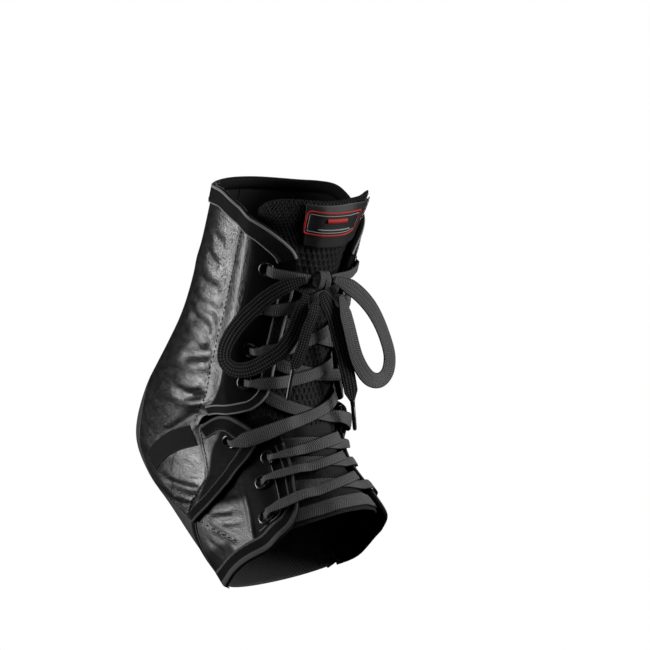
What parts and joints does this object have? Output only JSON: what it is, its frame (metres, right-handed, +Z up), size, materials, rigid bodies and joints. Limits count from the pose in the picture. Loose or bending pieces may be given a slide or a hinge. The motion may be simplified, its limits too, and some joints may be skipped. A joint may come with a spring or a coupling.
{
  "type": "ankle brace",
  "caption": "Lace-up ankle brace with coated quarter panels, heel-lock flaps, elastic heel, padded mesh tongue and a tied flat lace, held open as worn.",
  "frame": {"origin": "middle of the sole band's upper face under the heel, where the foot sits", "axes": "+Z up, toes along -Y, outer side of the ankle towards -X; the heel is raised as in the picture"},
  "size_m": [0.0935, 0.1686, 0.21],
  "materials": {
    "coated_fabric": "shiny coated black with a fine grain",
    "woven_tape": "matte black woven tape",
    "elastic": "matte dark elastic",
    "spacer_mesh": "black spacer mesh",
    "woven_label": "woven patch, charcoal with a red line",
    "flat_lace": "ribbed flat black lace",
    "black_plastic": "glossy black"
  },
  "bodies": {
    "root": {"main_panel_lateral": "coated_fabric", "flap_lateral": "coated_fabric", "lower_panel_lateral": "coated_fabric", "front_binding_lateral": "woven_tape", "flap_binding_lateral": "woven_tape", "lower_binding_lateral": "woven_tape", "side_tape_lateral": "woven_tape", "eyelet_lateral_1": "black_plastic", "eyelet_lateral_2": "black_plastic", "eyelet_lateral_3": "black_plastic", "eyelet_lateral_4": "black_plastic", "eyelet_lateral_5": "black_plastic", "eyelet_lateral_6": "black_plastic", "eyelet_lateral_7": "black_plastic", "eyelet_lateral_8": "black_plastic", "main_panel_medial": "coated_fabric", "flap_medial": "coated_fabric", "lower_panel_medial": "coated_fabric", "front_binding_medial": "woven_tape", "flap_binding_medial": "woven_tape", "lower_binding_medial": "woven_tape", "side_tape_medial": "woven_tape", "eyelet_medial_1": "black_plastic", "eyelet_medial_2": "black_plastic", "eyelet_medial_3": "black_plastic", "eyelet_medial_4": "black_plastic", "eyelet_medial_5": "black_plastic", "eyelet_medial_6": "black_plastic", "eyelet_medial_7": "black_plastic", "eyelet_medial_8": "black_plastic", "collar_binding": "woven_tape", "heel_sole_elastic": "elastic", "tongue": "spacer_mesh", "tongue_label": "woven_label", "lace_cross_lateral_8": "flat_lace", "lace_cross_medial_8": "flat_lace", "lace_cross_lateral_7": "flat_lace", "lace_cross_medial_7": "flat_lace", "lace_cross_lateral_6": "flat_lace", "lace_cross_medial_6": "flat_lace", "lace_cross_lateral_5": "flat_lace", "lace_cross_medial_5": "flat_lace", "lace_cross_lateral_4": "flat_lace", "lace_cross_medial_4": "flat_lace", "lace_cross_lateral_3": "flat_lace", "lace_cross_medial_3": "flat_lace", "lace_cross_lateral_2": "flat_lace", "lace_cross_medial_2": "flat_lace", "lace_bar": "flat_lace", "lace_top_lateral": "flat_lace", "lace_top_medial": "flat_lace", "bow_knot": "flat_lace", "bow_loop_lateral": "flat_lace", "bow_loop_medial": "flat_lace", "bow_end_lateral": "flat_lace", "bow_end_medial": "flat_lace", "aglet_lateral": "black_plastic", "aglet_medial": "black_plastic"}
  },
  "joints": []
}
